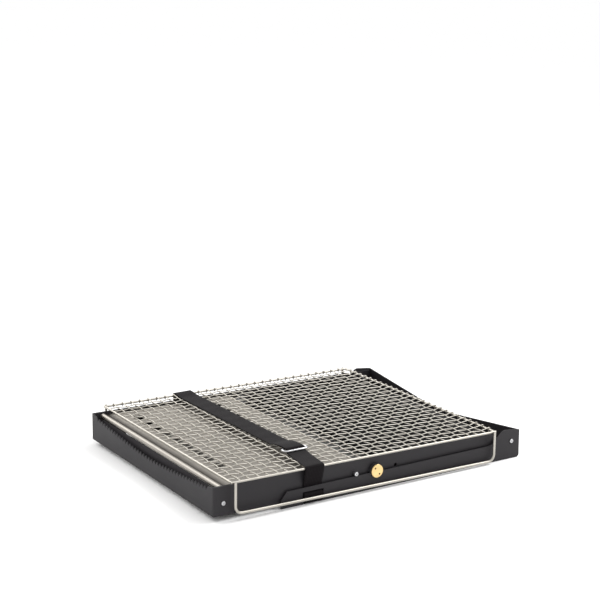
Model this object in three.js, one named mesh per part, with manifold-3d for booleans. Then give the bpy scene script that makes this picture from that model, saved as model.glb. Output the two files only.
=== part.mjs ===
// Folding fire pit, folded flat for carrying, in millimetres.
// Two shallow sheet-steel frames cross at a pivot on each long side, like scissors. A stainless
// cooking grate lies on top of the folded frames and a webbing strap ties the bundle together.
// Origin: centre of the footprint on the ground. +X runs right along the front, +Y runs away, +Z up.

import * as THREE from 'three';
import { mergeVertices } from 'three/addons/utils/BufferGeometryUtils.js';
import Module from 'manifold-3d';

const wasm = await Module();
wasm.setup();

// ---------------------------------------------------------------- driving dimensions

const LENGTH = 445;
const DEPTH = 340;
const SHEET = 1.5; // steel of the two frames
const PLATE_SHEET = 1.0; // thinner steel of the two hearth plates
const FIT = 0.3; // gap between pieces that touch
const STRAP_GAP = 2.5; // space between an outer arm and an inner panel, where the strap runs

const PIVOT_HEIGHT = 22.5;
const TILT = THREE.MathUtils.degToRad(0.8); // how far the folded inner frame leans, left end up

const END = LENGTH / 2;
const ARM_LEG = END - 87.5; // how far an outer arm reaches past the pivot, to its foot
const ARM_HEIGHT_LEFT = 20.2;
const ARM_HEIGHT_RIGHT = 22.4;
const EAR_HEIGHT = 36.5;
const EAR_PEAK = 39.3;
const EAR_LENGTH = 26; // from the right wall to the ear's peak
const EAR_SLOPE = 23; // length of the slope that climbs to the peak
const LUG_RADIUS = 9.4;

const PANEL_BELOW_PIVOT = 19;
const PANEL_ABOVE_PIVOT = 16.5;
const PANEL_END_X = END - 39.5;
const FOOT_X = PANEL_END_X - 40;
const PANEL_SLANT_TOP = 0; // the slanted foot end rises to here, level with the pivot
const WALL_TAB = 26; // length of the flange that a side wall turns along each long side

const TOOTH_PITCH = 7.6;
const TOOTH_DEPTH = 5;
const TOOTH_TIPS = { low: 4.8, high: 15.1, round: 40 }; // the row of teeth dips in the middle
const SCALLOP = { low: 18.5, round: 14 }; // the right wall's top edge; a larger round is less of a V

const BARREL_RADIUS = 4;
const BOLT_RADIUS = 2.3;
const CAP_RADIUS = 8.4;
const CAP_THICKNESS = 2.2;
const SPACER_RADIUS = 9;
const SCREW_HEAD = 1.8;

const RIVET_RADIUS = 1.9;
const RIVET_HEAD_RADIUS = 2.7;
const RIVET_INSET = 13; // from the end of the frame
const STOP_X = -29.5;
const STOP_RADIUS = 2.6;
const STOP_HEAD_RADIUS = 2.9;
const SPARE_HOLE = { x: 31, z: 1.2, radius: 2.2 };

const SLOT = { length: 20, width: 12, pitch: 27.4, count: 9, shift: 18.5 };
const SLOT_ROWS = [48.5 - END, -58];
const FIRE_PLATE_HEIGHT = 12.3; // above the pivot, inner frame's own level
const ROLL_RADIUS = 3.2; // of the fire plate's rolled outer edge
const LEDGE = { inset: 6, lean: 4.5, drop: 9.8, skirt: 28 }; // steep sheet under the rolled edge
const EMBER_PLATE_HEIGHT = 29; // above the ground
const PLATE_CENTRE_GAP = 20; // from the pivot to a plate's inner lip
const LIP_DEPTH = 8;
const SKIRT_DEPTH = 9;

const RIM_RADIUS = 1.5;
const RIM_LIFT = 2.4; // the mesh's lower wires and hooks hold the rim this far above the panels
const LOOP_RADIUS = 1.8;
const LOOP_OFFSET = 5; // loop wire's centre outside the arms
const LOOP_CORNER = 8;
const LOOP_DROP = 36.9; // from the rim's centre down to the loop's bottom run
const GRATE_LEFT = 19.5 - END;
const GRATE_RIGHT = END - 40.5;
const LOOP_INSET = 4.5;
const MESH_TOP = 0.8; // above the rim's centre
const MESH_RISE = 1.9; // wires and hooks stand this far above the rim's centre

const STRAP_WIDTH = 26;
const STRAP_THICKNESS = 1.2;
const STRAP_X = -90.5;
const STRAP_X_BUCKLE = -81.5;
const STRAP_X_REAR = -86;
const STRAP_WINDOW = { low: 5, high: 15 };
const STRAP_RECESS = 1.9;
const ANCHOR_TOP = 13; // top of the turn of webbing that passes through the strap window
const RING = { length: 13, wire: 3, centreY: -112.5 };

// ---------------------------------------------------------------- sizes that follow

const ARM_OUTER = DEPTH / 2;
const ARM_INNER = ARM_OUTER - SHEET;
const PANEL_OUTER = ARM_INNER - STRAP_GAP;
const PANEL_INNER = PANEL_OUTER - SHEET;
const LEFT_WALL_HALF = PANEL_INNER - FIT;
const RIGHT_WALL_HALF = ARM_INNER - FIT;
const FIRE_PLATE_HALF = LEFT_WALL_HALF - SHEET - FIT;
const EMBER_PLATE_HALF = PANEL_INNER - 4 * FIT;
const BORE_RADIUS = BARREL_RADIUS + FIT;
const RIVET_X = END - RIVET_INSET;
const RIVET_Z_LEFT = -4;
const RIVET_Z_RIGHT = 23.2;
const EAR_PEAK_X = END - EAR_LENGTH;
const MESH_LOW = PANEL_ABOVE_PIVOT + FIT;
const RIM_Z = MESH_LOW + RIM_RADIUS + RIM_LIFT;
const LOOP_Y = ARM_OUTER + LOOP_OFFSET;
const RIM_Y = LOOP_Y - LOOP_RADIUS - FIT - RIM_RADIUS;
const STRAP_Z = RIM_Z + MESH_RISE + STRAP_THICKNESS / 2;
const STRAP_Y_HIDDEN = (ARM_INNER + PANEL_OUTER) / 2;
const RING_WIDTH = STRAP_WIDTH + 9;

function armTop(x) {
  const part = (x + ARM_LEG) / (EAR_PEAK_X - EAR_SLOPE + ARM_LEG);
  return ARM_HEIGHT_LEFT + (ARM_HEIGHT_RIGHT - ARM_HEIGHT_LEFT) * part;
}

// ---------------------------------------------------------------- materials

const frameSteel = new THREE.MeshStandardMaterial({ color: 0x3a3b3e, roughness: 0.55, metalness: 0.3 });
const emberSteel = new THREE.MeshStandardMaterial({ color: 0x1c1c1e, roughness: 0.5, metalness: 0.3 });
const stainless = new THREE.MeshStandardMaterial({ color: 0xc9c4b8, roughness: 0.25, metalness: 1 });
const rivetSteel = new THREE.MeshStandardMaterial({ color: 0xb8b8ba, roughness: 0.3, metalness: 1 });
const brass = new THREE.MeshStandardMaterial({ color: 0xc8983c, roughness: 0.3, metalness: 1 });
const nylon = new THREE.MeshStandardMaterial({ color: 0x202022, roughness: 0.7, metalness: 0 });
const webbing = new THREE.MeshStandardMaterial({ color: 0x1b181c, roughness: 0.9, metalness: 0 });

// ---------------------------------------------------------------- building helpers

const outerFrame = new THREE.Group();
const tilted = new THREE.Group(); // the inner frame and the grate that lies on it
tilted.position.z = PIVOT_HEIGHT;
tilted.rotation.y = TILT;

function addNode(group, name, geometry, material) {
  const mesh = new THREE.Mesh(geometry, material);
  mesh.name = name;
  group.add(mesh);
  return mesh;
}

// A flat outline in X and Z, given a thickness along Y from yLow.
function sheetAlongY(shape, thickness, yLow) {
  const geometry = new THREE.ExtrudeGeometry(shape, { depth: thickness, bevelEnabled: false, curveSegments: 6 });
  return geometry.rotateX(Math.PI / 2).translate(0, yLow + thickness, 0);
}

// A flat outline in Y and Z, given a thickness along X from xLow.
function sheetAlongX(shape, thickness, xLow) {
  const geometry = new THREE.ExtrudeGeometry(shape, { depth: thickness, bevelEnabled: false, curveSegments: 6 });
  const turn = new THREE.Matrix4().makeBasis(
    new THREE.Vector3(0, 1, 0), new THREE.Vector3(0, 0, 1), new THREE.Vector3(1, 0, 0));
  return geometry.applyMatrix4(turn).translate(xLow, 0, 0);
}

function block(xLow, xHigh, yLow, yHigh, zLow, zHigh) {
  return new THREE.BoxGeometry(xHigh - xLow, yHigh - yLow, zHigh - zLow)
    .translate((xLow + xHigh) / 2, (yLow + yHigh) / 2, (zLow + zHigh) / 2);
}

function toManifold(geometry) {
  const bare = geometry.clone();
  bare.deleteAttribute('normal');
  bare.deleteAttribute('uv');
  const merged = mergeVertices(bare, 1e-4);
  return new wasm.Manifold(new wasm.Mesh({
    numProp: 3,
    vertProperties: new Float32Array(merged.attributes.position.array),
    triVerts: new Uint32Array(merged.index.array),
  }));
}

function toGeometry(manifold) {
  const mesh = manifold.getMesh();
  const geometry = new THREE.BufferGeometry();
  geometry.setAttribute('position', new THREE.BufferAttribute(mesh.vertProperties, 3));
  geometry.setIndex(new THREE.BufferAttribute(mesh.triVerts, 1));
  geometry.computeVertexNormals();
  return geometry;
}

function joined(...geometries) {
  return toGeometry(geometries.map(toManifold).reduce((whole, piece) => whole.add(piece)));
}

function cut(geometry, tools) {
  return toGeometry(tools.map(toManifold).reduce((whole, tool) => whole.subtract(tool), toManifold(geometry)));
}

function roundHole(x, z, radius) {
  const hole = new THREE.Path();
  hole.absarc(x, z, radius, 0, 2 * Math.PI, true);
  return hole;
}

// The outline of a thin bent strip, from the middle line of its section.
function stripOutline(points, thickness) {
  const left = [];
  const right = [];
  points.forEach((point, i) => {
    const before = points[Math.max(i - 1, 0)];
    const after = points[Math.min(i + 1, points.length - 1)];
    const incoming = point.clone().sub(before).normalize();
    const outgoing = after.clone().sub(point).normalize();
    const along = incoming.clone().add(outgoing).normalize();
    const straight = i > 0 && i < points.length - 1 ? along.dot(outgoing) : 1;
    const reach = thickness / 2 / straight;
    const normal = new THREE.Vector2(-along.y, along.x).multiplyScalar(reach);
    left.push(point.clone().add(normal));
    right.push(point.clone().sub(normal));
  });
  return new THREE.Shape(left.concat(right.reverse()).reverse());
}

function arcPoints(centreX, centreZ, radius, startDegrees, endDegrees, steps) {
  return Array.from({ length: steps + 1 }, (_, i) => {
    const angle = THREE.MathUtils.degToRad(startDegrees + (endDegrees - startDegrees) * i / steps);
    return new THREE.Vector2(centreX + radius * Math.cos(angle), centreZ + radius * Math.sin(angle));
  });
}

// A turned piece on the Y axis, with its height pointing out of the front or the rear face.
function addTurned(group, name, profile, material, x, y, z, side) {
  const points = profile.map(([radius, height]) => new THREE.Vector2(radius, height));
  const mesh = addNode(group, name, new THREE.LatheGeometry(points, 20), material);
  mesh.position.set(x, side * y, z);
  mesh.rotation.z = side < 0 ? Math.PI : 0;
  return mesh;
}

function ringProfile(inner, outer, low, high) {
  return [[inner, low], [outer, low], [outer, high], [inner, high], [inner, low]];
}

const SIDES = [['front', -1], ['rear', 1]];

// ---------------------------------------------------------------- outer frame: arms, wall, plate

function armShape(strapX) {
  const shape = new THREE.Shape();
  const recess = STRAP_WIDTH / 2 + 1;
  shape.moveTo(-ARM_LEG, 0);
  shape.lineTo(strapX - recess, 0);
  shape.lineTo(strapX - recess, STRAP_RECESS);
  shape.lineTo(strapX + recess, STRAP_RECESS);
  shape.lineTo(strapX + recess, 0);
  shape.lineTo(END - 4, 0);
  shape.absarc(END - 4, 4, 4, -Math.PI / 2, 0, false);
  shape.lineTo(END, EAR_HEIGHT);
  shape.lineTo(EAR_PEAK_X + 4, EAR_PEAK);
  shape.quadraticCurveTo(EAR_PEAK_X, EAR_PEAK + 0.4, EAR_PEAK_X - 3, EAR_PEAK - 2.4);
  shape.lineTo(EAR_PEAK_X - EAR_SLOPE + 7, ARM_HEIGHT_RIGHT + 3.2);
  shape.quadraticCurveTo(EAR_PEAK_X - EAR_SLOPE + 3, ARM_HEIGHT_RIGHT, EAR_PEAK_X - EAR_SLOPE - 3, ARM_HEIGHT_RIGHT);
  const rise = Math.asin((armTop(0) - PIVOT_HEIGHT) / LUG_RADIUS);
  shape.absarc(0, PIVOT_HEIGHT, LUG_RADIUS, rise, Math.PI - rise, false);
  shape.lineTo(-ARM_LEG + 8.5, armTop(-ARM_LEG + 8.5));
  shape.lineTo(-ARM_LEG, ARM_HEIGHT_LEFT - 10);
  shape.lineTo(-ARM_LEG, 0);
  shape.holes.push(roundHole(0, PIVOT_HEIGHT, BORE_RADIUS));
  shape.holes.push(roundHole(RIVET_X, RIVET_Z_RIGHT, RIVET_RADIUS + FIT));
  const slotHalf = STRAP_WIDTH / 2 + 1.5;
  shape.holes.push(new THREE.Path([
    new THREE.Vector2(strapX - slotHalf, STRAP_WINDOW.low),
    new THREE.Vector2(strapX - slotHalf, STRAP_WINDOW.high),
    new THREE.Vector2(strapX + slotHalf, STRAP_WINDOW.high),
    new THREE.Vector2(strapX + slotHalf, STRAP_WINDOW.low),
  ]));
  return shape;
}

for (const [label, side] of SIDES) {
  const yLow = side < 0 ? -ARM_OUTER : ARM_INNER;
  const shape = armShape(side < 0 ? STRAP_X : STRAP_X_REAR);
  addNode(outerFrame, `outer_arm_${label}`, sheetAlongY(shape, SHEET, yLow), frameSteel);
}

// A side wall with a flange turned along each long side; its top edge is given by topAt(y).
function flangedWall(half, xOuter, inward, zLow, zFlangeTop, topPoints, rivetZ) {
  const shape = new THREE.Shape();
  shape.moveTo(-half, zLow);
  shape.lineTo(half, zLow);
  topPoints.forEach(([y, z]) => shape.lineTo(y, z));
  shape.closePath();
  const xInner = xOuter + inward * SHEET;
  const xFlange = xOuter + inward * WALL_TAB;
  const parts = [sheetAlongX(shape, SHEET, Math.min(xOuter, xInner))];
  for (const side of [-1, 1]) {
    const y = [side * half, side * (half - SHEET)];
    parts.push(block(Math.min(xOuter, xFlange), Math.max(xOuter, xFlange),
      Math.min(...y), Math.max(...y), zLow, zFlangeTop));
  }
  const holes = new THREE.CylinderGeometry(RIVET_RADIUS + FIT, RIVET_RADIUS + FIT, 4 * half, 16)
    .translate(-inward * RIVET_X, 0, rivetZ);
  return cut(joined(...parts), [holes]);
}

// The height at y of a wall's dipping top edge: low in the middle, high at y = half.
function dipAt(y, half, low, high, round) {
  const reach = (at) => Math.hypot(at, round) - round;
  return low + (high - low) * reach(y) / reach(half);
}

function scallopPoints() {
  const steps = 28;
  return Array.from({ length: steps + 1 }, (_, i) => {
    const y = RIGHT_WALL_HALF * (1 - 2 * i / steps);
    return [y, dipAt(y, RIGHT_WALL_HALF, SCALLOP.low, EAR_HEIGHT, SCALLOP.round)];
  });
}

addNode(outerFrame, 'right_wall', flangedWall(RIGHT_WALL_HALF, END, -1, 0, EAR_HEIGHT - 2, scallopPoints(),
  RIVET_Z_RIGHT), frameSteel);

// A hearth plate: one folded sheet with a skirt along each long side.
function hearthPlate(line, half, xLow, xHigh, zSkirtLow, zSkirtHigh) {
  const sheet = sheetAlongY(stripOutline(line, PLATE_SHEET), 2 * half, -half);
  const skirts = [-1, 1].map((side) => {
    const y = [side * half, side * (half - PLATE_SHEET)];
    return block(xLow, xHigh, Math.min(...y), Math.max(...y), zSkirtLow, zSkirtHigh);
  });
  return joined(sheet, ...skirts);
}

function emberPlateLine() {
  const top = EMBER_PLATE_HEIGHT;
  const edge = END - SHEET - 1;
  return [
    new THREE.Vector2(PLATE_CENTRE_GAP + 2, top - LIP_DEPTH),
    ...arcPoints(PLATE_CENTRE_GAP + 4, top - 2, 2, 180, 90, 3),
    new THREE.Vector2(edge - 52, top),
    new THREE.Vector2(edge - 42, top - 1.5),
    new THREE.Vector2(edge - 2, top - 12),
    new THREE.Vector2(edge, top - 14),
    new THREE.Vector2(edge, top - 22),
  ];
}

addNode(outerFrame, 'ember_plate', hearthPlate(emberPlateLine(), EMBER_PLATE_HALF, PLATE_CENTRE_GAP + 6,
  END - 56, EMBER_PLATE_HEIGHT - SKIRT_DEPTH, EMBER_PLATE_HEIGHT), emberSteel);

// ---------------------------------------------------------------- inner frame: panels, wall, plate

const stopWorldZ = armTop(STOP_X) + FIT / 2 + STOP_RADIUS;
const stopZ = (stopWorldZ - PIVOT_HEIGHT + STOP_X * Math.sin(TILT)) / Math.cos(TILT);

function panelShape() {
  const shape = new THREE.Shape();
  shape.moveTo(-END, -PANEL_BELOW_PIVOT);
  shape.lineTo(FOOT_X, -PANEL_BELOW_PIVOT);
  shape.lineTo(PANEL_END_X, PANEL_SLANT_TOP);
  shape.lineTo(PANEL_END_X, PANEL_ABOVE_PIVOT - 2);
  shape.lineTo(PANEL_END_X - 2, PANEL_ABOVE_PIVOT);
  shape.lineTo(-END, PANEL_ABOVE_PIVOT);
  shape.closePath();
  shape.holes.push(roundHole(0, 0, BORE_RADIUS));
  shape.holes.push(roundHole(STOP_X, stopZ, RIVET_RADIUS + FIT));
  shape.holes.push(roundHole(SPARE_HOLE.x, SPARE_HOLE.z, SPARE_HOLE.radius));
  shape.holes.push(roundHole(-RIVET_X, RIVET_Z_LEFT, RIVET_RADIUS + FIT));
  return shape;
}

for (const [label, side] of SIDES) {
  const yLow = side < 0 ? -PANEL_OUTER : PANEL_INNER;
  addNode(tilted, `inner_panel_${label}`, sheetAlongY(panelShape(), SHEET, yLow), frameSteel);
}

function toothPoints() {
  const teeth = Math.floor(2 * (LEFT_WALL_HALF - 12) / TOOTH_PITCH);
  const start = teeth * TOOTH_PITCH / 2;
  const tip = (y) => dipAt(y, LEFT_WALL_HALF, TOOTH_TIPS.low, TOOTH_TIPS.high, TOOTH_TIPS.round);
  const points = [[LEFT_WALL_HALF, PANEL_ABOVE_PIVOT]];
  for (let i = 0; i <= teeth; i += 1) {
    const y = start - i * TOOTH_PITCH;
    points.push([y, tip(y)]);
    if (i < teeth) points.push([y - TOOTH_PITCH / 2, tip(y - TOOTH_PITCH / 2) - TOOTH_DEPTH]);
  }
  points.push([-LEFT_WALL_HALF, PANEL_ABOVE_PIVOT]);
  return points;
}

addNode(tilted, 'left_wall', flangedWall(LEFT_WALL_HALF, -END, 1, -PANEL_BELOW_PIVOT, PANEL_ABOVE_PIVOT,
  toothPoints(), RIVET_Z_LEFT), frameSteel);

const rollX = -END + LEDGE.inset + LEDGE.lean + ROLL_RADIUS;

// The steep ledge that carries the fire plate's rolled outer edge.
const rollZ = FIRE_PLATE_HEIGHT - 1;
const ledgeTop = rollZ - ROLL_RADIUS * Math.sin(THREE.MathUtils.degToRad(20)) - 3 * FIT;
const ledgeLine = [
  new THREE.Vector2(rollX - ROLL_RADIUS - LEDGE.lean, FIRE_PLATE_HEIGHT - LEDGE.skirt),
  new THREE.Vector2(rollX - ROLL_RADIUS - LEDGE.lean, FIRE_PLATE_HEIGHT - LEDGE.drop),
  new THREE.Vector2(rollX - ROLL_RADIUS, ledgeTop),
];
addNode(tilted, 'fire_ledge', sheetAlongY(stripOutline(ledgeLine, PLATE_SHEET), 2 * FIRE_PLATE_HALF,
  -FIRE_PLATE_HALF), frameSteel);

function firePlateLine() {
  const top = FIRE_PLATE_HEIGHT;
  return [
    ...arcPoints(rollX, rollZ, ROLL_RADIUS, 200, 18, 8),
    ...arcPoints(-PLATE_CENTRE_GAP - 2, top - 2, 2, 90, 0, 3),
    new THREE.Vector2(-PLATE_CENTRE_GAP, top - LIP_DEPTH),
  ];
}

function slotTools() {
  const tools = [];
  for (const x of SLOT_ROWS) {
    for (let i = 0; i < SLOT.count; i += 1) {
      const y = SLOT.shift + (i - (SLOT.count - 1) / 2) * SLOT.pitch;
      const straight = (SLOT.length - SLOT.width) / 2;
      const oval = new THREE.Shape();
      oval.absarc(0, straight, SLOT.width / 2, 0, Math.PI, false);
      oval.absarc(0, -straight, SLOT.width / 2, Math.PI, 2 * Math.PI, false);
      const tool = new THREE.ExtrudeGeometry(oval, { depth: 20, bevelEnabled: false, curveSegments: 3 });
      tools.push(tool.translate(x, y, FIRE_PLATE_HEIGHT - 10));
    }
  }
  return tools;
}

addNode(tilted, 'fire_plate', cut(hearthPlate(firePlateLine(), FIRE_PLATE_HALF, -END + WALL_TAB + 3,
  -PLATE_CENTRE_GAP - 6, FIRE_PLATE_HEIGHT - SKIRT_DEPTH, FIRE_PLATE_HEIGHT), slotTools()), stainless);

// ---------------------------------------------------------------- pivots, stops and rivets

const capFace = ARM_OUTER + FIT;
const barrelEnd = PANEL_INNER - 2.3;
const barrelLength = capFace - barrelEnd;
const spacerLow = PANEL_OUTER + FIT;
const washerHigh = PANEL_INNER - FIT;
const washerLow = barrelEnd + FIT;

for (const [label, side] of SIDES) {
  addTurned(outerFrame, `pivot_cap_${label}`, [
    [0, -1], [BOLT_RADIUS + FIT, -1], [BOLT_RADIUS + FIT, -barrelLength], [BARREL_RADIUS, -barrelLength],
    [BARREL_RADIUS, 0], [CAP_RADIUS, 0], [CAP_RADIUS, CAP_THICKNESS - 0.6],
    [CAP_RADIUS - 0.6, CAP_THICKNESS], [0, CAP_THICKNESS],
  ], brass, 0, capFace, PIVOT_HEIGHT, side);
  addTurned(outerFrame, `pivot_spacer_${label}`,
    ringProfile(BORE_RADIUS, SPACER_RADIUS, 0, STRAP_GAP - 2 * FIT), nylon, 0, spacerLow, PIVOT_HEIGHT, side);
  addTurned(outerFrame, `pivot_washer_${label}`,
    ringProfile(BORE_RADIUS, SPACER_RADIUS, 0, washerHigh - washerLow), rivetSteel, 0, washerLow,
    PIVOT_HEIGHT, side);
  addTurned(outerFrame, `pivot_screw_${label}`, [
    [0, -SCREW_HEAD], [7, -SCREW_HEAD], [7, 0], [BOLT_RADIUS, 0], [BOLT_RADIUS, barrelLength - 2.5],
    [0, barrelLength - 2.5],
  ], rivetSteel, 0, barrelEnd - FIT, PIVOT_HEIGHT, side);
}

// A solid rivet: shank through two sheets, a domed head outside and a flat head inside.
function addRivet(group, name, x, z, outerFace, innerFace, side, headRadius) {
  const grip = outerFace - innerFace + 2 * FIT;
  addTurned(group, name, [
    [0, -grip - 1], [headRadius, -grip - 1], [headRadius, -grip], [RIVET_RADIUS, -grip],
    [RIVET_RADIUS, 0], [headRadius, 0], [headRadius - 0.5, 0.7], [headRadius - 1.6, 1.1], [0, 1.2],
  ], rivetSteel, x, outerFace + FIT, z, side);
}

for (const [label, side] of SIDES) {
  addRivet(outerFrame, `rivet_right_${label}`, RIVET_X, RIVET_Z_RIGHT, ARM_OUTER,
    RIGHT_WALL_HALF - SHEET, side, RIVET_HEAD_RADIUS);
  addRivet(tilted, `rivet_left_${label}`, -RIVET_X, RIVET_Z_LEFT, PANEL_OUTER,
    LEFT_WALL_HALF - SHEET, side, RIVET_HEAD_RADIUS);
  const grip = SHEET + 2 * FIT;
  const reach = ARM_OUTER + 0.3 - PANEL_OUTER - FIT;
  addTurned(tilted, `stop_pin_${label}`, [
    [0, -grip - 1], [STOP_RADIUS, -grip - 1], [STOP_RADIUS, -grip], [RIVET_RADIUS, -grip],
    [RIVET_RADIUS, 0], [STOP_RADIUS, 0], [STOP_RADIUS, reach], [STOP_HEAD_RADIUS - 0.4, reach + 0.7],
    [1.2, reach + 1.2], [0, reach + 1.2],
  ], rivetSteel, STOP_X, PANEL_OUTER + FIT, stopZ, side);
}

// ---------------------------------------------------------------- grate: mesh, rims and loops

addNode(tilted, 'mesh_panel', block(GRATE_LEFT + 2 * RIM_RADIUS + FIT, GRATE_RIGHT - 2 * RIM_RADIUS - FIT,
  -RIM_Y + RIM_RADIUS + FIT, RIM_Y - RIM_RADIUS - FIT, MESH_LOW, RIM_Z + MESH_TOP), stainless);

for (const [label, side] of SIDES) {
  const rim = new THREE.CylinderGeometry(RIM_RADIUS, RIM_RADIUS, GRATE_RIGHT - GRATE_LEFT, 10);
  const mesh = addNode(tilted, `grate_rim_${label}`, rim, stainless);
  mesh.rotation.z = Math.PI / 2;
  mesh.position.set((GRATE_LEFT + GRATE_RIGHT) / 2, side * RIM_Y, RIM_Z);
}

for (const [label, x] of [['left', GRATE_LEFT + RIM_RADIUS], ['right', GRATE_RIGHT - RIM_RADIUS]]) {
  const rim = new THREE.CylinderGeometry(RIM_RADIUS, RIM_RADIUS, 2 * (RIM_Y - RIM_RADIUS - FIT), 10);
  addNode(tilted, `grate_rim_${label}`, rim, stainless).position.set(x, 0, RIM_Z);
}

function loopPath(y) {
  const left = GRATE_LEFT + LOOP_INSET;
  const right = GRATE_RIGHT - LOOP_INSET;
  const top = RIM_Z + RIM_RADIUS;
  const low = RIM_Z - LOOP_DROP;
  const at = (x, z) => new THREE.Vector3(x, y, z);
  const path = new THREE.CurvePath();
  path.add(new THREE.LineCurve3(at(left, top), at(left, low + LOOP_CORNER)));
  path.add(new THREE.QuadraticBezierCurve3(at(left, low + LOOP_CORNER), at(left, low), at(left + LOOP_CORNER, low)));
  path.add(new THREE.LineCurve3(at(left + LOOP_CORNER, low), at(right - LOOP_CORNER, low)));
  path.add(new THREE.QuadraticBezierCurve3(at(right - LOOP_CORNER, low), at(right, low), at(right, low + LOOP_CORNER)));
  path.add(new THREE.LineCurve3(at(right, low + LOOP_CORNER), at(right, top)));
  return path;
}

const wireSection = new THREE.Shape(Array.from({ length: 8 }, (_, i) => new THREE.Vector2(
  LOOP_RADIUS * Math.cos(i * Math.PI / 4), LOOP_RADIUS * Math.sin(i * Math.PI / 4))));

for (const [label, side] of SIDES) {
  const loop = new THREE.ExtrudeGeometry(wireSection, { steps: 48, extrudePath: loopPath(side * LOOP_Y) });
  addNode(tilted, `grate_loop_${label}`, loop, stainless);
}

// ---------------------------------------------------------------- strap

function strapShift(y) {
  if (y > RING.centreY) {
    const part = (y - RING.centreY) / (RIM_Y - RING.centreY);
    return STRAP_X_BUCKLE + (STRAP_X_REAR - STRAP_X_BUCKLE) * part;
  }
  const part = Math.min((RING.centreY - y) / (RIM_Y + RING.centreY), 1);
  return STRAP_X_BUCKLE + (STRAP_X - STRAP_X_BUCKLE) * part;
}

// The strap's middle line from a start on the mesh, over the rim and down behind the arm.
function strapLine(startY, tailLow) {
  const radius = STRAP_Z - RIM_Z;
  const bendZ = armTop(STRAP_X) + 2 - PIVOT_HEIGHT;
  const toCentre = new THREE.Vector2(RIM_Y - STRAP_Y_HIDDEN, RIM_Z - bendZ);
  const leave = THREE.MathUtils.radToDeg(toCentre.angle() - Math.asin(radius / toCentre.length())) - 90;
  return [
    new THREE.Vector2(startY, STRAP_Z),
    ...arcPoints(RIM_Y, RIM_Z, radius, 90, leave, 6),
    new THREE.Vector2(STRAP_Y_HIDDEN, bendZ),
    new THREE.Vector2(STRAP_Y_HIDDEN, tailLow),
  ];
}

function strapGeometry(startY, side) {
  const tailLow = ANCHOR_TOP + 2 * FIT - PIVOT_HEIGHT - Math.abs(STRAP_X) * Math.sin(TILT);
  const line = strapLine(side * startY, tailLow);
  const geometry = sheetAlongX(stripOutline(line, STRAP_THICKNESS), STRAP_WIDTH, -STRAP_WIDTH / 2);
  if (side < 0) geometry.rotateZ(Math.PI);
  const position = geometry.attributes.position;
  for (let i = 0; i < position.count; i += 1) {
    position.setX(i, position.getX(i) + strapShift(position.getY(i)));
  }
  return geometry;
}

const ringHalf = RING.length / 2;
addNode(tilted, 'strap_long', strapGeometry(RING.centreY + ringHalf + FIT, 1), webbing);
addNode(tilted, 'strap_short', strapGeometry(RING.centreY - ringHalf - FIT, -1), webbing);

function ringShape() {
  const rounded = (halfX, halfY, radius, path) => {
    path.absarc(halfX - radius, halfY - radius, radius, 0, Math.PI / 2, false);
    path.absarc(-halfX + radius, halfY - radius, radius, Math.PI / 2, Math.PI, false);
    path.absarc(-halfX + radius, -halfY + radius, radius, Math.PI, 3 * Math.PI / 2, false);
    path.absarc(halfX - radius, -halfY + radius, radius, 3 * Math.PI / 2, 2 * Math.PI, false);
    return path;
  };
  const shape = rounded(RING_WIDTH / 2, ringHalf, 4, new THREE.Shape());
  shape.holes.push(rounded(RING_WIDTH / 2 - RING.wire, ringHalf - RING.wire, 1.2, new THREE.Path()));
  return shape;
}

const ring = new THREE.ExtrudeGeometry(ringShape(), { depth: RING.wire, bevelEnabled: false, curveSegments: 4 });
addNode(tilted, 'strap_ring', ring, rivetSteel)
  .position.set(STRAP_X_BUCKLE, RING.centreY, STRAP_Z - STRAP_THICKNESS / 2);

// A closed turn of webbing round the strip of arm below the strap window.
function anchorShape() {
  const inner = { low: ARM_INNER - FIT, high: ARM_OUTER + FIT, bottom: STRAP_RECESS - FIT, top: ANCHOR_TOP - 1.1 };
  const outer = { low: inner.low - 1, high: inner.high + 1, bottom: inner.bottom - 1.1, top: inner.top + 1.1 };
  const loop = (box, corner, path) => {
    path.absarc(box.high - corner, box.top - corner, corner, 0, Math.PI / 2, false);
    path.absarc(box.low + corner, box.top - corner, corner, Math.PI / 2, Math.PI, false);
    path.absarc(box.low + corner, box.bottom + corner, corner, Math.PI, 3 * Math.PI / 2, false);
    path.absarc(box.high - corner, box.bottom + corner, corner, 3 * Math.PI / 2, 2 * Math.PI, false);
    return path;
  };
  const shape = loop(outer, 1.2, new THREE.Shape());
  shape.holes.push(loop(inner, 0.3, new THREE.Path()));
  return shape;
}

for (const [label, side] of SIDES) {
  const geometry = sheetAlongX(anchorShape(), STRAP_WIDTH, -STRAP_WIDTH / 2);
  const mesh = addNode(outerFrame, `strap_anchor_${label}`, geometry, webbing);
  mesh.rotation.z = side < 0 ? Math.PI : 0;
  mesh.position.x = side < 0 ? STRAP_X : STRAP_X_REAR;
}

const group = new THREE.Group();
group.add(outerFrame, tilted);

export default group;
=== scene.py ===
# A folding fire pit of sheet steel, folded flat, with its stainless grate strapped on top.
# Everything is in metres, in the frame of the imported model.
import math

import bmesh
import bpy
from mathutils import Matrix, Vector


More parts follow.
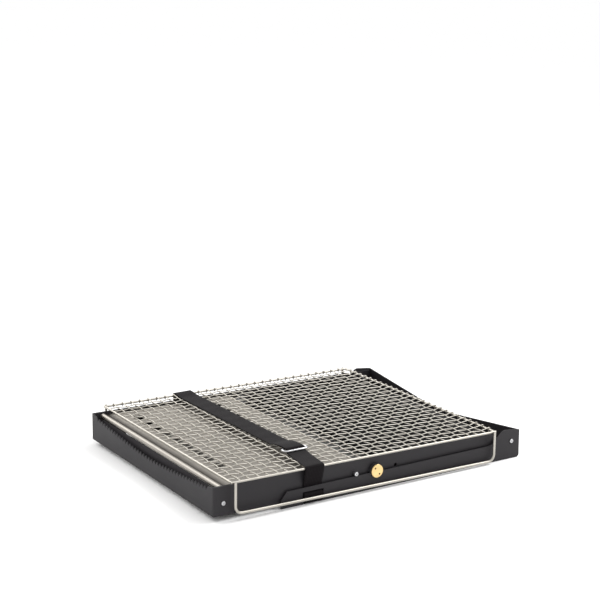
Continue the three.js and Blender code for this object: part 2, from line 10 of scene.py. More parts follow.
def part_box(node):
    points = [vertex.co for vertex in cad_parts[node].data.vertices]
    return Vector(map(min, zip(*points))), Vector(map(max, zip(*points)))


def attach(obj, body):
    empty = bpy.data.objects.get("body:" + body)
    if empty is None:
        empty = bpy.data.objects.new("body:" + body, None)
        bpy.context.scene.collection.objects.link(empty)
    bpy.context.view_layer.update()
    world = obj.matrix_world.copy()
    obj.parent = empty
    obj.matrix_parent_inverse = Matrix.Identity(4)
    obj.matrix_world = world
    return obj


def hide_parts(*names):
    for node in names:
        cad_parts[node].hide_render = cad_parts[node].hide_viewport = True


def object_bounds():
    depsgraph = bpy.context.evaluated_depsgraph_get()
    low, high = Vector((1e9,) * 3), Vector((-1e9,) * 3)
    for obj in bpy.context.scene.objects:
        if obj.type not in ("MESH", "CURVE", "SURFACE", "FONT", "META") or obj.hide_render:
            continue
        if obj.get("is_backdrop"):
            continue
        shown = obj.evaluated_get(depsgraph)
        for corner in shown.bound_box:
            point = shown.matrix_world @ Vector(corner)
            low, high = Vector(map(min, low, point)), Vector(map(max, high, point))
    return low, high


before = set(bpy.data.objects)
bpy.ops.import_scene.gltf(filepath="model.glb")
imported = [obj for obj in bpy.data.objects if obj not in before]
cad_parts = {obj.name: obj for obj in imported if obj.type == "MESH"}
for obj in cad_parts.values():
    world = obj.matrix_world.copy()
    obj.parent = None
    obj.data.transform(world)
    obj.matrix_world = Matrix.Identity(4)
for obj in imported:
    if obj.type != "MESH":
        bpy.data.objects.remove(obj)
cad_low, cad_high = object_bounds()
scene = bpy.context.scene

# ---------------------------------------------------------------- camera
# A long lens a little above the top of the object, turned so that the long front side and the
# serrated left end both show.
azimuth, elevation = math.radians(-31.81), math.radians(13.31)
towards_camera = Vector((
    math.sin(azimuth) * math.cos(elevation),
    -math.cos(azimuth) * math.cos(elevation),
    math.sin(elevation),
))
camera = bpy.data.objects.new("camera", bpy.data.cameras.new("camera"))
scene.collection.objects.link(camera)
camera.data.sensor_width = 36
camera.data.lens = 91.29
camera.location = (-0.9983, -1.6039, 0.6475)
camera.rotation_mode = "QUATERNION"
camera.rotation_quaternion = (-towards_camera).to_track_quat("-Z", "Y")
scene.camera = camera

# ---------------------------------------------------------------- coated sheet steel
# The two frames are 1.5 mm sheet steel, laser cut and folded, under a charcoal powder coat.
# The coat rounds every cut edge a little and has a fine orange-peel surface.


class Value:
    """A socket in a material; arithmetic on it adds Math nodes."""

    def __init__(self, finish, socket):
        self.finish = finish
        self.socket = socket

    def math(self, operation, *others):
        sockets = dict(enumerate((self, *others)))
        return self.finish.node("Math", {"operation": operation}, sockets)

    def __add__(self, other):
        return self.math("ADD", other)

    def __mul__(self, other):
        return self.math("MULTIPLY", other)

    def __sub__(self, other):
        return self.math("SUBTRACT", other)

    def __pow__(self, other):
        return self.math("POWER", other)

    def __rsub__(self, other):
        return self.finish.node("Math", {"operation": "SUBTRACT"}, {0: other, 1: self})

    __radd__ = __add__
    __rmul__ = __mul__


class Finish:
    """A material being built round one Principled shader."""

    def __init__(self, name, **constants):
        self.material = bpy.data.materials.new(name)
        self.material.use_nodes = True
        self.tree = self.material.node_tree
        self.shader = self.tree.nodes["Principled BSDF"]
        self.set(**constants)

    def feed(self, socket, value):
        if isinstance(value, Value):
            self.tree.links.new(value.socket, socket)
        else:
            socket.default_value = value

    def set(self, **values):
        for name, value in values.items():
            self.feed(self.shader.inputs[name.replace("_", " ")], value)

    def node(self, kind, settings=None, sockets=None, output=0):
        node = self.tree.nodes.new("ShaderNode" + kind)
        for name, value in (settings or {}).items():
            setattr(node, name, value)
        for name, value in (sockets or {}).items():
            self.feed(node.inputs[name], value)
        return Value(self, node.outputs[output])

    def place(self, scale=(1, 1, 1), source="Object"):
        """The point being shaded, scaled."""
        point = self.node("TexCoord", output=["Generated", "Normal", "UV", "Object"].index(source))
        return self.node("Mapping", sockets={"Vector": point, "Scale": scale})

    def along(self, axis, where=None):
        """The point's distance along one axis: 0, 1 or 2."""
        return self.node("SeparateXYZ", sockets={"Vector": where or self.place()}, output=axis)

    def step(self, value, start, end):
        """0 where the value has reached start and 1 where it has reached end, straight between them."""
        return self.node("MapRange", sockets={"Value": value, "From Min": start, "From Max": end})

    def noise(self, scale, where=None, detail=3.0, roughness=0.55):
        where = where or self.place()
        sockets = {"Vector": where, "Scale": scale, "Detail": detail, "Roughness": roughness}
        return self.node("TexNoise", sockets=sockets)

    def blend(self, factor, first, second):
        colours = {0: factor, 6: (*first, 1), 7: (*second, 1)}
        return self.node("Mix", {"data_type": "RGBA"}, colours, output=2)

    def bump(self, height, strength, distance):
        sockets = {"Height": height, "Strength": strength, "Distance": distance}
        self.set(Normal=self.node("Bump", sockets=sockets))


def coat(name, dark, light, roughness, specular):
    finish = Finish(name, Specular_IOR_Level=specular)
    peel = finish.noise(1500, detail=1.5)
    cloud = finish.noise(22, detail=4)
    dust = finish.noise(260, detail=5, roughness=0.7)
    speck = finish.step(dust, 0.62, 0.78)
    finish.set(
        Base_Color=finish.blend(cloud * 0.75 + speck * 0.25, dark, light),
        Roughness=cloud * 0.14 + peel * 0.08 + speck * 0.06 + (roughness - 0.11),
    )
    finish.bump(peel + cloud * 0.4, 0.16, 0.0002)
    return finish.material


def hand_over(piece, body, slot, *nodes):
    """Attaches a finished piece to its body and hides the nodes that it stands for. The slot is not used."""
    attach(piece, body)
    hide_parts(*nodes)
    return piece


def new_piece(name, mesh_or_bmesh, material):
    mesh = mesh_or_bmesh
    if isinstance(mesh_or_bmesh, bmesh.types.BMesh):
        mesh = bpy.data.meshes.new(name)
        mesh_or_bmesh.to_mesh(mesh)
        mesh_or_bmesh.free()
    mesh.materials.clear()
    mesh.materials.append(material)
    for polygon in mesh.polygons:
        polygon.use_smooth = True
    piece = bpy.data.objects.new(name, mesh)
    scene.collection.objects.link(piece)
    return piece


def eased_copy(node, name, material, ease, body, slot):
    """The node's shape with its folded and cut edges eased, as a coat or a press leaves them."""
    shape = bmesh.new()
    shape.from_mesh(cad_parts[node].data)
    bmesh.ops.remove_doubles(shape, verts=shape.verts, dist=1e-6)
    bmesh.ops.dissolve_limit(shape, angle_limit=math.radians(0.5), verts=shape.verts, edges=shape.edges)
    sharp = [edge for edge in shape.edges
             if len(edge.link_faces) == 2 and edge.calc_face_angle() > math.radians(38)]
    bmesh.ops.bevel(shape, geom=sharp, offset=ease, offset_type="OFFSET", affect="EDGES", segments=3,
                    profile=0.5, material=-1, clamp_overlap=True)
    piece = new_piece(name, shape, material)
    smoothing = piece.modifiers.new("even shading", "WEIGHTED_NORMAL")
    smoothing.keep_sharp = True
    return hand_over(piece, body, slot, node)


frame_coat = coat("charcoal_powder_coat", (0.0150, 0.0132, 0.0152), (0.0215, 0.0195, 0.0222), 0.55, 0.3)
sheet_ease = 0.0003
for node in ("outer_arm_front", "outer_arm_rear", "right_wall"):
    eased_copy(node, node + "_coated", frame_coat, sheet_ease, "outer_frame", "frame_steel")
for node in ("inner_panel_front", "inner_panel_rear", "left_wall"):
    eased_copy(node, node + "_coated", frame_coat, sheet_ease, "inner_frame", "frame_steel")

# ---------------------------------------------------------------- hearth plates
# The fire plate on the left is thin bright stainless, rolled down at its outer end, with two rows
# of oval air slots and painted shade beside the roll. The ember plate on the right is a like pressing in
# black heat-proof coat.
# A coated ledge fills the wall's side of the roll; below its top edge its coat is painted near black as
# painted shade.


def rolled_stainless():
    """Rolled sheet, with painted shade in a dark brown band beside its rolled edge."""
    edge_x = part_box("fire_plate")[0].x
    finish = Finish("rolled_stainless", Metallic=1.0, Anisotropic=0.35)
    streak = finish.noise(1, finish.place(scale=(900, 14, 900)), detail=4)
    cloud = finish.noise(9, detail=3)
    smudge = finish.noise(55, detail=4, roughness=0.65)
    x = finish.along(0)
    # Painted shade: a dark brown band on the flat beside the roll, from about 6 mm to 17 mm in from the
    # rolled edge, ragged with the smudges.
    past_shade_band = finish.step(x + smudge * 0.003, edge_x + 0.0100, edge_x + 0.0175)
    roll = finish.step(x, edge_x + 0.0072, edge_x + 0.0058)
    unshaded = past_shade_band.math("MAXIMUM", roll)
    shine = (cloud * 0.25 + smudge * 0.15 + 0.6) * unshaded
    finish.set(
        Base_Color=finish.blend(shine, (0.035, 0.028, 0.024), (0.44, 0.415, 0.375)),
        Roughness=streak * 0.14 + cloud * 0.12 + smudge * 0.10 + 0.26,
    )
    finish.bump(streak, 0.12, 0.00008)
    return finish.material


def shade_painted_coat(node):
    """The charcoal coat of a sheet near its top edge, painted near black further down as painted shade."""
    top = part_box(node)[1].z
    finish = Finish("shade_painted_coat", Specular_IOR_Level=0.15)
    height = finish.along(2)
    cloud = finish.noise(60, detail=4)
    # Painted shade: charcoal down to 3.5 mm below the top edge, near black from 9.5 mm below it, ragged with
    # the cloud.
    unshaded = finish.step(height + cloud * 0.003, top - 0.0095, top - 0.0035)
    finish.set(Base_Color=finish.blend(unshaded, (0.0012, 0.0010, 0.0012), (0.0200, 0.0178, 0.0200)),
               Roughness=cloud * 0.15 + 0.55)
    finish.bump(finish.noise(900, detail=2) + cloud * 0.4, 0.16, 0.0002)
    return finish.material


plate_ease = 0.0002
eased_copy("fire_plate", "fire_plate_sheet", rolled_stainless(), plate_ease, "inner_frame",
           "stainless_plate")
black_coat = coat("black_heatproof_coat", (0.0015, 0.0013, 0.0015), (0.0040, 0.0036, 0.0038), 0.6, 0.04)
eased_copy("fire_ledge", "fire_ledge_sheet", shade_painted_coat("fire_ledge"), plate_ease, "inner_frame",
           "frame_steel")
eased_copy("ember_plate", "ember_plate_sheet", black_coat, plate_ease, "outer_frame", "ember_steel")

# ---------------------------------------------------------------- pivots
# Each pivot is a turned brass barrel with a flat cap outside, two spanner holes in its face, and
# a steel screw that closes it from inside over a washer. A black spacer keeps arm and panel apart.
pivot_low, pivot_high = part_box("pivot_cap_front")
pivot_x, pivot_z = (pivot_low.x + pivot_high.x) / 2, (pivot_low.z + pivot_high.z) / 2
cap_radius = (pivot_high.x - pivot_low.x) / 2
arm_face = abs(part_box("outer_arm_front")[0].y)
barrel_radius = 0.004
bore_radius = 0.0026
cap_height = 0.0022
barrel_length = pivot_high.y - pivot_low.y - cap_height
spanner_holes = (math.radians(52), math.radians(232))
spanner_reach = 0.0049
spanner_radius = 0.0012
sides = (("front", -1), ("rear", 1))


def turned(name, profile, material, segments=64):
    """A lathe piece on the Y axis: profile points are (radius, distance outwards), ends on the axis."""
    shape = bmesh.new()
    rim = [shape.verts.new((radius, height, 0)) for radius, height in profile]
    edges = [shape.edges.new(pair) for pair in zip(rim, rim[1:])]
    bmesh.ops.spin(shape, geom=rim + edges, cent=(0, 0, 0), axis=(0, 1, 0), angle=2 * math.pi,
                   steps=segments, use_merge=True)
    bmesh.ops.remove_doubles(shape, verts=shape.verts, dist=1e-6)
    bmesh.ops.recalc_face_normals(shape, faces=shape.faces)
    return new_piece(name, shape, material)


def sharpen(piece, degrees):
    shape = bmesh.new()
    shape.from_mesh(piece.data)
    for edge in shape.edges:
        edge.smooth = len(edge.link_faces) != 2 or edge.calc_face_angle() < math.radians(degrees)
    shape.to_mesh(piece.data)
    shape.free()


def set_down(piece, matrix):
    piece.data.transform(matrix)
    return piece


def facing(side, x, y, z):
    """Puts a turned piece at a place, pointing out of the front (-1) or the rear (1) face."""
    return Matrix.Translation((x, side * y, z)) @ Matrix.Rotation(math.pi if side < 0 else 0, 4, "Z")


def bored(piece, cutters):
    for cutter in cutters:
        step = piece.modifiers.new("bore", "BOOLEAN")
        step.object = cutter
        step.solver = "EXACT"
    made = bpy.data.meshes.new_from_object(piece.evaluated_get(bpy.context.evaluated_depsgraph_get()))
    piece.modifiers.clear()
    piece.data = made
    for cutter in cutters:
        bpy.data.objects.remove(cutter)
    return piece


def turned_brass():
    finish = Finish("turned_brass", Metallic=1.0)
    sideways, up = finish.along(0) - pivot_x, finish.along(2) - pivot_z
    depth = finish.along(1).math("ABSOLUTE")
    distance = (sideways * sideways + up * up) ** 0.5
    rings = (distance * 9000).math("SINE") * 0.5 + 0.5
    tarnish = finish.noise(160, detail=4)
    # Painted shade: the bottoms and lower walls of the spanner holes go near black.
    inside = finish.step(distance, cap_radius - 0.0012, cap_radius - 0.0018)
    sunk = finish.step(depth, arm_face + 0.0021, arm_face + 0.0012)
    unshaded = 1 - inside * sunk
    finish.set(
        Base_Color=finish.blend(tarnish * 0.25 + unshaded * 0.75, (0.02, 0.012, 0.004), (0.88, 0.64, 0.30)),
        Roughness=tarnish * 0.16 + rings * 0.06 + 0.16,
    )
    finish.bump(rings * 0.6 + tarnish * 0.4, 0.15, 0.00005)
    return finish.material


def bright_steel():
    finish = Finish("bright_steel", Metallic=1.0)
    cloud = finish.noise(240, detail=4)
    fine = finish.noise(2500, detail=2)
    finish.set(
        Base_Color=finish.blend(cloud, (0.42, 0.42, 0.43), (0.68, 0.68, 0.69)),
        Roughness=cloud * 0.18 + fine * 0.08 + 0.16,
    )
    finish.bump(fine, 0.1, 0.00004)
    return finish.material


def moulded_nylon():
    finish = Finish("moulded_nylon")
    fine = finish.noise(1800, detail=2)
    finish.set(Base_Color=finish.blend(fine, (0.010, 0.010, 0.011), (0.020, 0.020, 0.021)),
               Roughness=fine * 0.2 + 0.45)
    finish.bump(fine, 0.2, 0.0001)
    return finish.material


brass, steel, nylon = turned_brass(), bright_steel(), moulded_nylon()
cap_profile = [
    (0, -0.0010), (bore_radius, -0.0010), (bore_radius, -barrel_length), (barrel_radius, -barrel_length),
    (barrel_radius, 0), (cap_radius - 0.0002, 0), (cap_radius, 0.0002), (cap_radius, 0.0014),
    (cap_radius - 0.0001, 0.0018), (cap_radius - 0.0005, 0.0021), (cap_radius - 0.0010, cap_height),
    (cap_radius - 0.0016, cap_height), (cap_radius - 0.0019, 0.00205), (0, 0.00205),
]
for label, side in sides:
    cap = turned("brass_cap_" + label, cap_profile, brass)
    drills = []
    for angle in spanner_holes:
        tip = [(0, 0.0003), (spanner_radius, 0.0006), (spanner_radius, 0.004), (0, 0.004)]
        drill = turned("drill", tip, brass, 24)
        place = Matrix.Translation((spanner_reach * math.cos(angle), 0, spanner_reach * math.sin(angle)))
        drills.append(set_down(drill, place))
    bored(cap, drills)
    set_down(cap, facing(side, pivot_x, arm_face + 0.0003, pivot_z))
    sharpen(cap, 50)
    hand_over(cap, "outer_frame", "brass", "pivot_cap_" + label)
    eased_copy("pivot_spacer_" + label, "spacer_disc_" + label, nylon, 0.0002, "outer_frame", "spacer_nylon")
    eased_copy("pivot_washer_" + label, "washer_disc_" + label, steel, 0.0002, "outer_frame", "bright_steel")
    eased_copy("pivot_screw_" + label, "screw_head_" + label, steel, 0.0002, "outer_frame", "bright_steel")

# ---------------------------------------------------------------- rivets and stop pins
# Semi-tubular steel rivets close the four corners: a low domed head with a shallow dimple outside.
# A thicker pin stands out of each inner panel and stops the folded frame on the arm's top edge.


def rivet(name, node, side, body, shank_radius, head_radius, head_height, dimple):
    low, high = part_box(node)
    outer = max(abs(low.y), abs(high.y))
    inner = min(abs(low.y), abs(high.y))
    length = outer - inner
    profile = [
        (0, -length), (head_radius * 0.8, -length), (head_radius * 0.96, 0.0004 - length),
        (shank_radius, 0.0011 - length), (shank_radius, -head_height), (head_radius, -head_height),
        (head_radius, -head_height * 0.75), (head_radius * 0.93, -head_height * 0.4),
        (head_radius * 0.78, -head_height * 0.12), (head_radius * 0.6, 0), (dimple * 1.12, -0.00004),
        (dimple, -0.00025), (dimple * 0.94, -0.0018), (dimple * 0.5, -0.0022), (0, -0.0023),
    ]
    piece = turned(name, profile, steel, 40)
    set_down(piece, facing(side, (low.x + high.x) / 2, outer, (low.z + high.z) / 2))
    sharpen(piece, 55)
    return hand_over(piece, body, "bright_steel", node)


corner_rivet = {"shank_radius": 0.0019, "head_radius": 0.0027, "head_height": 0.0012, "dimple": 0.0011}
stop_pin = {"shank_radius": 0.0026, "head_radius": 0.0027, "head_height": 0.0010, "dimple": 0.0009}
for label, side in sides:
    rivet("corner_rivet_right_" + label, "rivet_right_" + label, side, "outer_frame", **corner_rivet)
    rivet("corner_rivet_left_" + label, "rivet_left_" + label, side, "inner_frame", **corner_rivet)
    rivet("stop_" + label, "stop_pin_" + label, side, "inner_frame", **stop_pin)

# ---------------------------------------------------------------- grate
# A woven mesh of crimped 1.5 mm stainless wire, welded to a rim of 3 mm wire at the front and left
# and bent round it at the rear and right. A loop of thicker wire hangs from the rim at the front and
# at the rear, as handle and spacer.
rim_left = sum(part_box("grate_rim_left"), Vector()) / 2
rim_right = sum(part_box("grate_rim_right"), Vector()) / 2
rim_rear_y = sum(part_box("grate_rim_rear"), Vector()).y / 2
across = (rim_right - rim_left).normalized()
upwards = across.cross(Vector((0, 1, 0)))
grate_middle = (rim_left + rim_right) / 2
grate_half_x = (rim_right - rim_left).length / 2
rim_radius = (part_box("grate_rim_left")[1].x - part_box("grate_rim_left")[0].x) / 2
wire_radius = 0.00074
crimp = wire_radius * 0.72  # the wires are pressed into each other where they cross
mesh_pitch = 0.01275
turns = 6  # points in each cell of a crimped wire


def on_grate(x, y, z):
    """A point in the grate's own frame: from its middle, with z above the rim's centre."""
    return grate_middle + across * x + Vector((0, y, 0)) + upwards * z


def wires(name, routes, radius, sides, material):
    """Round wires through lists of points, as one mesh with closed ends."""
    curve = bpy.data.curves.new(name, "CURVE")
    curve.dimensions = "3D"
    curve.bevel_depth = radius
    curve.bevel_resolution = sides // 2 - 2
    curve.use_fill_caps = True
    curve.twist_mode = "MINIMUM"
    for route in routes:
        spline = curve.splines.new("POLY")
        spline.points.add(len(route) - 1)
        for point, place in zip(spline.points, route):
            point.co = (*place, 1)
    holder = bpy.data.objects.new(name, curve)
    scene.collection.objects.link(holder)
    mesh = bpy.data.meshes.new_from_object(holder.evaluated_get(bpy.context.evaluated_depsgraph_get()))
    bpy.data.objects.remove(holder)
    return new_piece(name, mesh, material)


def crimped_route(half, cells, phase):
    """Distance along and height of one wire: welded to the first rim, bent round the second."""
    pitch = 2 * half / cells
    wrap = rim_radius + wire_radius + 0.0001
    arc = [(half + wrap * math.cos(math.radians(a)), wrap * math.sin(math.radians(a)))
           for a in (112, 90, 62, 34, 6, -22, -50, -78, -106)]
    steps = (cells - 2) * turns
    middle = []
    for i in range(steps + 1):
        along = -half + pitch + i / turns * pitch
        middle.append((along, crimp * phase * math.cos(math.pi * i / turns)))
    return [(0.0004 - half, 0), (0.0022 - half, crimp * phase * 0.1)] + middle + arc


def stainless_wire():
    finish = Finish("stainless_wire", Metallic=1.0)
    cloud = finish.noise(60, detail=4)
    drawn = finish.noise(1400, detail=3)
    finish.set(
        Base_Color=finish.blend(cloud, (0.36, 0.34, 0.30), (0.52, 0.495, 0.45)),
        Roughness=cloud * 0.16 + drawn * 0.10 + 0.24,
    )
    finish.bump(drawn, 0.12, 0.00005)
    return finish.material


wire_steel = stainless_wire()
cells_x = round(2 * grate_half_x / mesh_pitch)
cells_y = round(2 * rim_rear_y / mesh_pitch)
lengthwise = []
for row in range(1, cells_y):
    y = -rim_rear_y + row * 2 * rim_rear_y / cells_y
    route = crimped_route(grate_half_x, cells_x, (-1) ** row)
    lengthwise.append([on_grate(along, y, height) for along, height in route])
crosswise = []
for column in range(1, cells_x):
    x = -grate_half_x + column * 2 * grate_half_x / cells_x
    route = crimped_route(rim_rear_y, cells_y, -((-1) ** column))
    crosswise.append([on_grate(x, along, height) for along, height in route])
weave = wires("mesh_wires_lengthwise", lengthwise, wire_radius, 8, wire_steel)
hand_over(weave, "grate", "stainless_wire", "mesh_panel")
weave = wires("mesh_wires_crosswise", crosswise, wire_radius, 8, wire_steel)
hand_over(weave, "grate", "stainless_wire", "mesh_panel")

rim_length = grate_half_x + rim_radius
rims = [[on_grate(-rim_length, y, 0), on_grate(rim_length, y, 0)] for y in (-rim_rear_y, rim_rear_y)]
rims += [[on_grate(x, -rim_rear_y, 0), on_grate(x, rim_rear_y, 0)] for x in (-grate_half_x, grate_half_x)]
rim = wires("grate_rim", rims, rim_radius, 16, wire_steel)
hand_over(rim, "grate", "stainless_wire", "grate_rim_front", "grate_rim_rear", "grate_rim_left",
          "grate_rim_right")

loop_radius = 0.0018
loop_corner = 0.009
loop_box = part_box("grate_loop_front")
loop_y = abs(sum(loop_box, Vector()).y) / 2
loop_inset = 0.003
loop_drop = 0.0369


def loop_route(y):
    """Down from the rim, along the bottom and up again, with round corners."""
    end = grate_half_x - loop_inset
    half = [(-end, rim_radius), (-end, loop_corner - loop_drop)]
    for i in range(1, 10):
        angle = math.pi + i / 9 * math.pi / 2
        half.append((-end + loop_corner * (1 + math.cos(angle)),
                     -loop_drop + loop_corner * (1 + math.sin(angle))))
    return [on_grate(x, y, z) for x, z in half + [(-x, z) for x, z in reversed(half)]]


for label, side in sides:
    loop = wires("wire_loop_" + label, [loop_route(side * loop_y)], loop_radius, 16, wire_steel)
    hand_over(loop, "grate", "stainless_wire", "grate_loop_" + label)

# ---------------------------------------------------------------- strap
# Black 26 mm webbing, 1.2 mm thick, goes over the mesh from the rear arm to a wire ring and from the
# ring to the front arm. Each end runs down behind its arm and is sewn round it through the window.
strap_thickness = 0.0012
strap_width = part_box("strap_anchor_front")[1].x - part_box("strap_anchor_front")[0].x
front_x = sum(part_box("strap_anchor_front"), Vector()).x / 2
rear_x = sum(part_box("strap_anchor_rear"), Vector()).x / 2
ring_low, ring_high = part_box("strap_ring")
ring_x = (ring_low.x + ring_high.x) / 2
ring_y = (ring_low.y + ring_high.y) / 2
hidden_y = (abs(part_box("outer_arm_front")[1].y) + abs(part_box("inner_panel_front")[0].y)) / 2
arm_top_z = 0.021
mesh_top = crimp + wire_radius
strap_rest = mesh_top + strap_thickness / 2 + 0.0001


def webbing():
    finish = Finish("black_webbing", Sheen_Weight=0.06, Sheen_Roughness=0.4, Specular_IOR_Level=0.08)
    cloth = finish.place(source="UV")
    u, v = finish.along(0, cloth), finish.along(1, cloth)
    ribs = (v * (2 * math.pi / 0.0016)).math("SINE") * 0.5 + 0.5
    columns = (u * (2 * math.pi / 0.0021)).math("SINE") * 0.5 + 0.5
    weave_height = ribs.math("MULTIPLY", columns) * 0.7 + columns * 0.3
    fluff = finish.noise(700, detail=4)
    cloud = finish.noise(35, detail=3)
    finish.set(
        Base_Color=finish.blend(weave_height * 0.5 + fluff * 0.3 + cloud * 0.2, (0.0024, 0.0016, 0.0021),
                                (0.0100, 0.0074, 0.0088)),
        Roughness=fluff * 0.2 + 0.62,
    )
    finish.bump(weave_height + fluff * 0.35, 0.6, 0.00025)
    return finish.material


def ribbon(name, line, shift, material, closed=False):
    """A strip of webbing along a line of (y, z) points; shift(y, z) gives its middle in x."""
    columns = 8
    shape = bmesh.new()
    layer = shape.loops.layers.uv.new("cloth")
    row = [shape.verts.new((shift(*line[0]) + (c / columns - 0.5) * strap_width, *line[0]))
           for c in range(columns + 1)]
    edges = [shape.edges.new(pair) for pair in zip(row, row[1:])]
    travelled = 0
    for before, after in zip(line, line[1:]):
        run = math.dist(before, after)
        step = (shift(*after) - shift(*before), after[0] - before[0], after[1] - before[1])
        grown = bmesh.ops.extrude_edge_only(shape, edges=edges)["geom"]
        fresh = [item for item in grown if isinstance(item, bmesh.types.BMVert)]
        bmesh.ops.translate(shape, verts=fresh, vec=step)
        edges = [item for item in grown if isinstance(item, bmesh.types.BMEdge)
                 and all(vertex in fresh for vertex in item.verts)]
        for face in (item for item in grown if isinstance(item, bmesh.types.BMFace)):
            for loop in face.loops:
                middle = shift(*after) if loop.vert in fresh else shift(*before)
                loop[layer].uv = (loop.vert.co.x - middle, travelled + (run if loop.vert in fresh else 0))
        travelled += run
    if closed:
        bmesh.ops.remove_doubles(shape, verts=shape.verts, dist=1e-6)
    bmesh.ops.recalc_face_normals(shape, faces=shape.faces)
    piece = new_piece(name, shape, material)
    thick = piece.modifiers.new("cloth thickness", "SOLIDIFY")
    thick.thickness = strap_thickness
    thick.offset = 0
    edge = piece.modifiers.new("selvedge", "BEVEL")
    edge.width = 0.00035
    edge.segments = 2
    edge.limit_method = "ANGLE"
    edge.angle_limit = math.radians(60)
    return piece


def flat_z(x, y, height):
    """The height in the model of a point at x, y that lies this far above the rim's plane."""
    return on_grate(0, y, height).z + (x - grate_middle.x) * across.z / across.x


def over_the_rim(side, x, start_y, tail_z):
    """From the mesh over the rim, inwards behind the arm and straight down to the sewn end."""
    hooks = 2 * wire_radius if side > 0 else 0.0004
    radius = rim_radius + hooks + strap_thickness / 2 + 0.0002
    rim_z = flat_z(x, 0, 0)
    bend_z = arm_top_z + 0.0022
    line = []
    climb = 0.022
    span = abs(start_y - side * (rim_rear_y - climb))
    count = max(2, round(span / 0.006))
    for i in range(count + 1):
        y = start_y + (side * (rim_rear_y - climb) - start_y) * i / count
        wave = 0.00016 * math.sin(y * 2 * math.pi / 0.0255)
        line.append((y, rim_z + strap_rest + wave))
    for i in range(1, 4):
        rise = (1 - math.cos(math.pi * i / 4)) / 2
        y = side * (rim_rear_y - climb * (1 - i / 4))
        line.append((y, rim_z + strap_rest + (radius - strap_rest) * rise))
    for angle in range(90, -31, -12):
        a = math.radians(angle)
        line.append((side * (rim_rear_y + radius * math.cos(a)), rim_z + radius * math.sin(a)))
    out_y, out_z = abs(line[-1][0]), line[-1][1]
    for i in range(1, 9):
        part = i / 8
        ease = part ** 1.25
        line.append((side * (out_y + (hidden_y - out_y) * ease), out_z + (bend_z - out_z) * part))
    line += [(side * hidden_y, bend_z + (tail_z - bend_z) * i / 5) for i in range(1, 6)]
    return line


cloth = webbing()
tail_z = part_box("strap_short")[0].z
ring_wire = 0.0014
ring_half_y = (ring_high.y - ring_low.y) / 2 - ring_wire
ring_half_x = (ring_high.x - ring_low.x) / 2 - ring_wire
ring_z = flat_z(ring_x, ring_y, mesh_top + strap_thickness + ring_wire + 0.0002)


def front_shift(y, z):
    part = min(max((ring_y - y) / (rim_rear_y + ring_y), 0), 1)
    return ring_x + (front_x - ring_x) * part


def rear_shift(y, z):
    part = min(max((y - ring_y) / (rim_rear_y - ring_y), 0), 1)
    return ring_x + (rear_x - ring_x) * part


# The short end is turned up round the ring's front bar from below.
bar_y = ring_y - ring_half_y
wrap = ring_wire + strap_thickness / 2 + 0.00005
short = [(bar_y + wrap * math.cos(math.radians(a)), ring_z + wrap * math.sin(math.radians(a)))
         for a in (50, 30, 10, -10, -30, -50, -70, -90)]
short += over_the_rim(-1, ring_x, bar_y - 0.002, tail_z)
hand_over(ribbon("strap_front", short, front_shift, cloth), "grate", "webbing", "strap_short")

# The long end comes over the ring's rear bar as far as its front bar, and folds back under both.
fold = ring_wire + strap_thickness / 2 + 0.0001
fold_y = bar_y + wrap + strap_thickness + 0.0003 + fold
folded = [(fold_y - fold * math.sin(math.radians(a)), ring_z - fold * math.cos(math.radians(a)))
           for a in range(0, 181, 20)]
long_run = over_the_rim(1, ring_x, fold_y + 0.040, tail_z)
settle = [
    (fold_y + 0.004, ring_z + fold), (fold_y + 0.010, ring_z + fold), (fold_y + 0.016, ring_z + fold * 0.8),
    (fold_y + 0.025, ring_z + fold * 0.35), (fold_y + 0.033, long_run[0][1] + 0.0003),
]
hand_over(ribbon("strap_rear", folded + settle + long_run, rear_shift, cloth), "grate", "webbing",
          "strap_long")

# The ring: bright wire bent to a rectangle with round corners.
corner = 0.0042
ring_route = []
for turn, (sx, sy) in enumerate(((1, 1), (-1, 1), (-1, -1), (1, -1))):
    for i in range(7):
        a = math.radians(90 * turn + 15 * i)
        ring_route.append(Vector((
            ring_x + sx * (ring_half_x - corner) + corner * math.cos(a),
            ring_y + sy * (ring_half_y - corner) + corner * math.sin(a),
            ring_z)))
ring_route += ring_route[:2]
ring = wires("strap_ring_wire", [ring_route], ring_wire, 12, steel)
hand_over(ring, "grate", "bright_steel", "strap_ring")

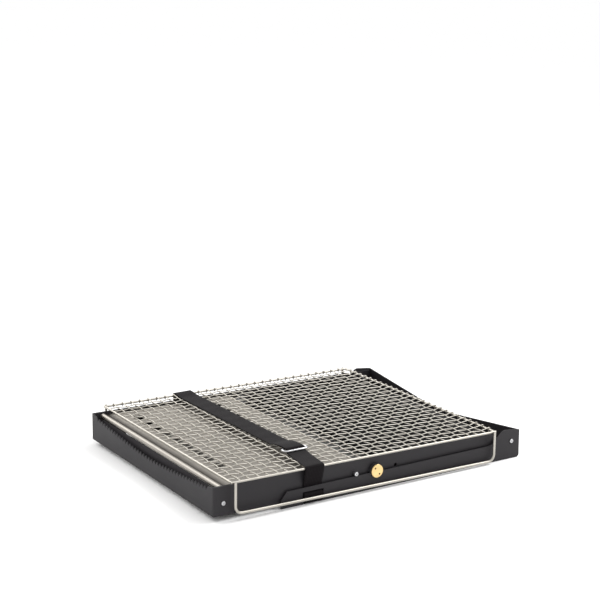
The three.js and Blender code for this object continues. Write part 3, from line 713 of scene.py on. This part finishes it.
# The sewn ends: one turn of webbing round the strip of arm under the window.
for label, side in sides:
    low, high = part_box("strap_anchor_" + label)
    half_y, half_z = (high.y - low.y) / 2 - strap_thickness / 2, (high.z - low.z) / 2 - strap_thickness / 2
    middle_y, middle_z = (low.y + high.y) / 2, (low.z + high.z) / 2
    bend = 0.0009
    turn_line = []
    for quarter, (sy, sz) in enumerate(((1, 1), (-1, 1), (-1, -1), (1, -1))):
        for i in range(5):
            a = math.radians(90 * quarter + 22.5 * i)
            turn_line.append((middle_y + sy * (half_y - bend) + bend * math.cos(a),
                              middle_z + sz * (half_z - bend) + bend * math.sin(a)))
    turn_line.append(turn_line[0])
    x = (low.x + high.x) / 2
    anchor = ribbon("strap_end_" + label, turn_line, lambda y, z: x, cloth, closed=True)
    hand_over(anchor, "outer_frame", "webbing", "strap_anchor_" + label)

# ---------------------------------------------------------------- studio
# A seamless pale floor under soft light: a large box above right, a fill and a bright surround.


def studio_floor():
    finish = Finish("studio_floor", Roughness=0.9, Specular_IOR_Level=0.1)
    grain = finish.noise(40, detail=2)
    finish.set(Base_Color=finish.blend(grain, (0.975, 0.975, 0.975), (0.99, 0.99, 0.99)))
    return finish.material


shape = bmesh.new()
bmesh.ops.create_grid(shape, x_segments=1, y_segments=1, size=40)
bmesh.ops.translate(shape, verts=shape.verts, vec=(0, 0, cad_low.z - 0.0002))
new_piece("floor", shape, studio_floor())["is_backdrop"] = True


def softbox(name, place, aim, size, power, colour=(1, 1, 1)):
    light = bpy.data.lights.new(name, "AREA")
    light.shape = "RECTANGLE"
    light.size, light.size_y = size
    light.energy = power
    light.color = colour
    lamp = bpy.data.objects.new(name, light)
    scene.collection.objects.link(lamp)
    lamp.location = place
    lamp.rotation_mode = "QUATERNION"
    lamp.rotation_quaternion = (Vector(aim) - Vector(place)).to_track_quat("-Z", "Y")


softbox("key_above_right", (1.5, -0.5, 1.7), (0, 0, 0), (1.2, 1.2), 34)
softbox("rear_strip", (-0.6, 2.0, 1.5), (0, 0, 0.02), (2.2, 0.8), 22, (1, 0.985, 0.96))
world = bpy.data.worlds.new("surround")
world.use_nodes = True
world.node_tree.nodes["Background"].inputs["Color"].default_value = (1, 1, 1, 1)
world.node_tree.nodes["Background"].inputs["Strength"].default_value = 1.02
scene.world = world
scene.view_settings.view_transform = "Standard"

low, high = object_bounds()
